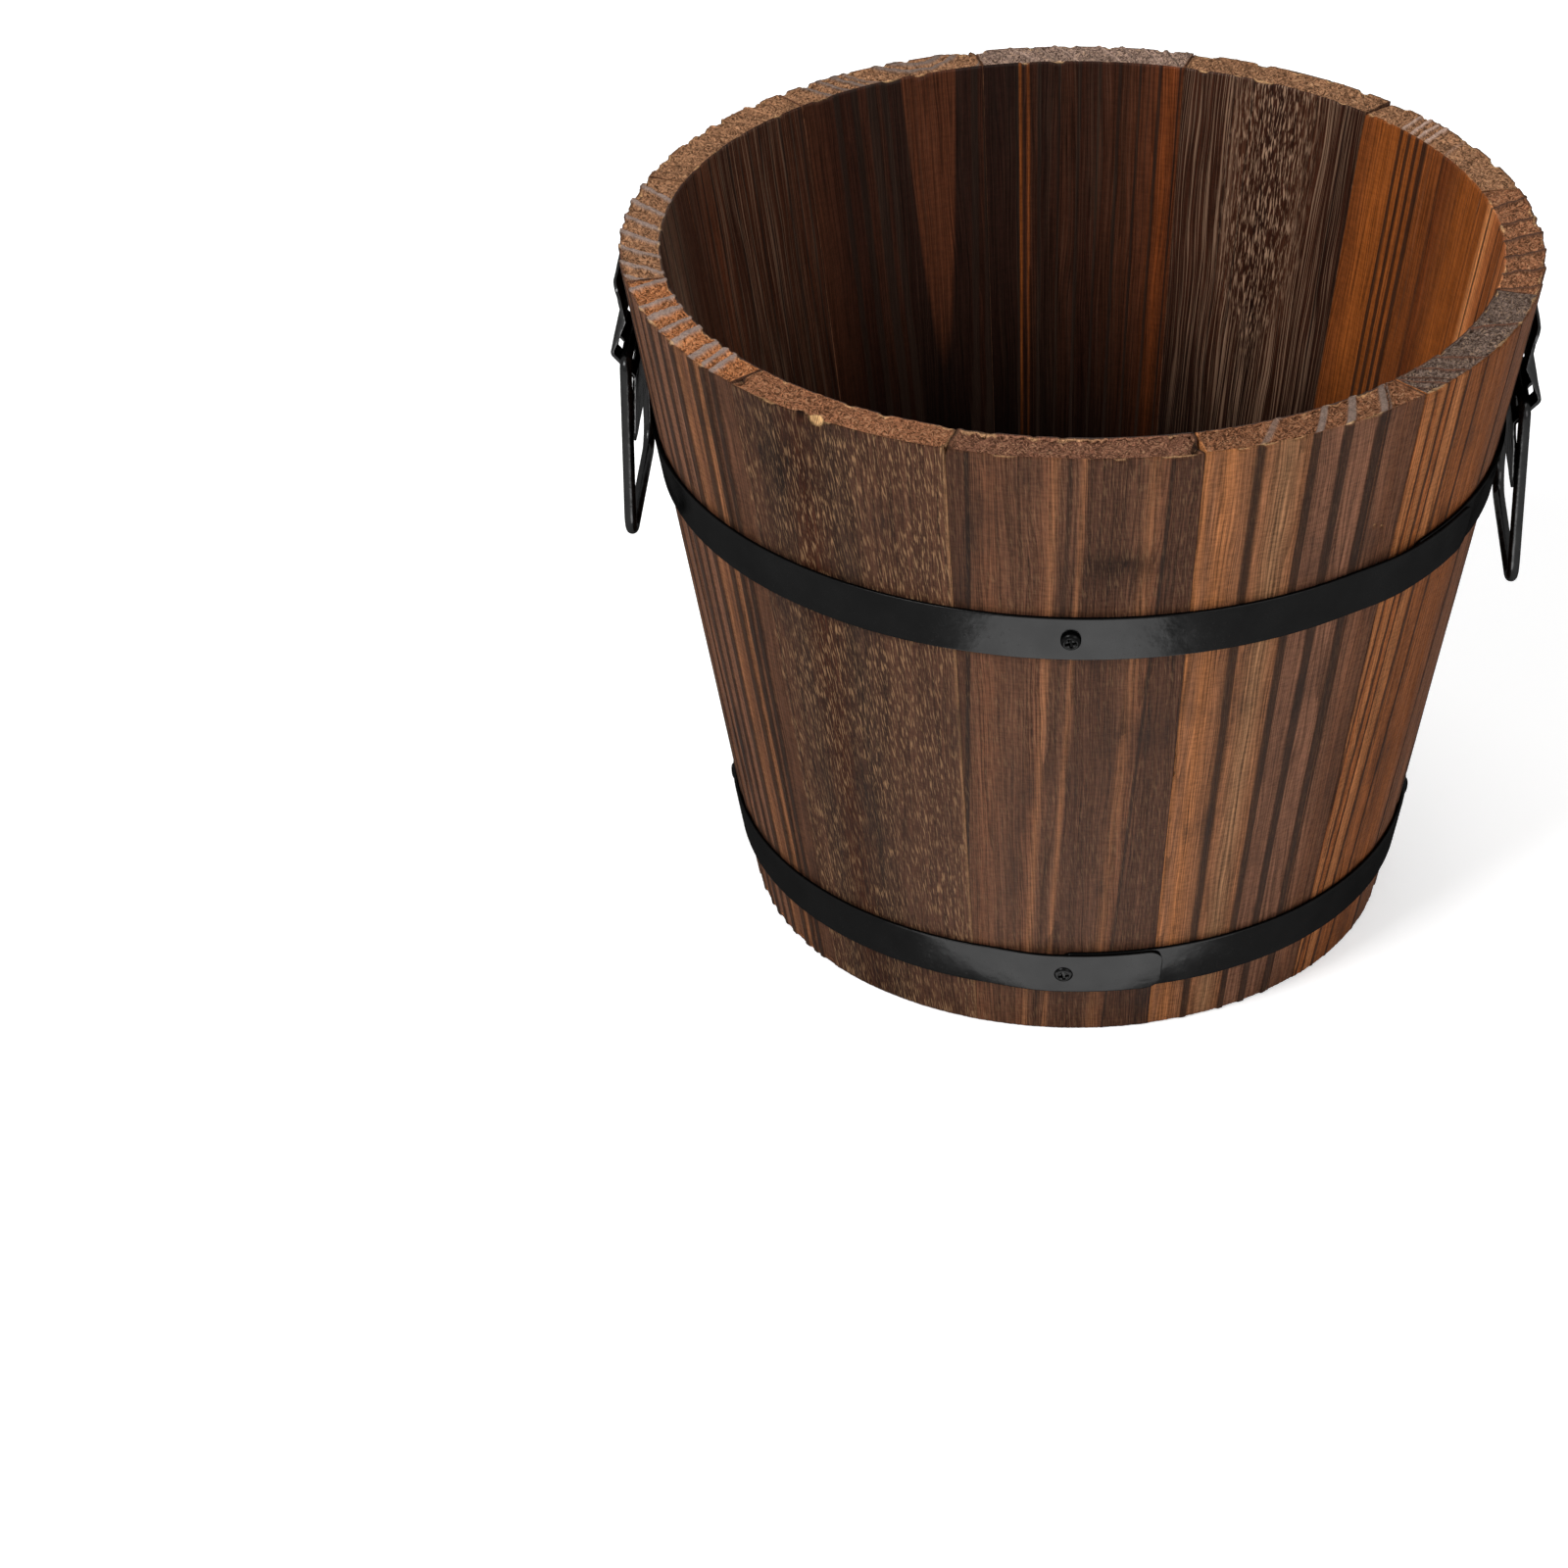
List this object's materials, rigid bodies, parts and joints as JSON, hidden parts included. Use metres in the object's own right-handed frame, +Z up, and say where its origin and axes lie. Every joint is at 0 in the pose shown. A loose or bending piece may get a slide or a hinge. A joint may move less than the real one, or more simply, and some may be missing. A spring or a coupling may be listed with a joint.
{
  "type": "wooden flower pot",
  "caption": "Tapered flower pot of scorched wooden staves round a bottom board, bound by black steel hoops, with a wire ring handle swinging in a folded bracket on each side",
  "frame": {"origin": "middle of the pot's foot, on the surface that it stands on", "axes": "+Z up along the pot's axis, -Y the front between the handles, +X towards the right handle"},
  "size_m": [0.3017, 0.2998, 0.24],
  "materials": {
    "scorched_wood": "scorched and brushed softwood, raised late wood, satin varnish",
    "bottom_wood": "pale softwood board with a scorched part",
    "hoop_paint": "black satin paint on steel strip",
    "screw_black": "black coated screw, painted over",
    "bracket_paint": "thick glossy black paint on folded sheet",
    "ring_paint": "glossy black paint on round wire"
  },
  "bodies": {
    "tub": {"stave_01": "scorched_wood", "stave_02": "scorched_wood", "stave_03": "scorched_wood", "stave_04": "scorched_wood", "stave_05": "scorched_wood", "stave_06": "scorched_wood", "stave_07": "scorched_wood", "stave_08": "scorched_wood", "stave_09": "scorched_wood", "stave_10": "scorched_wood", "stave_11": "scorched_wood", "stave_12": "scorched_wood", "bottom_board": "bottom_wood", "upper_hoop": "hoop_paint", "lower_hoop": "hoop_paint", "upper_hoop_screws": "screw_black", "lower_hoop_screws": "screw_black", "right_handle_screw": "screw_black", "right_handle_bracket": "bracket_paint", "left_handle_screw": "screw_black", "left_handle_bracket": "bracket_paint"},
    "right_ring": {"right_handle_ring": "ring_paint"},
    "left_ring": {"left_handle_ring": "ring_paint"}
  },
  "joints": [
    {"name": "right_ring_swing", "type": "hinge", "parent": "tub", "child": "right_ring", "pos_m": [0.14457, 0, 0.19284], "axis": [0, -1, 0], "range_deg": [-8, 170]},
    {"name": "left_ring_swing", "type": "hinge", "parent": "tub", "child": "left_ring", "pos_m": [-0.14657, 0, 0.20484], "axis": [0, 1, 0], "range_deg": [-8, 170]}
  ]
}
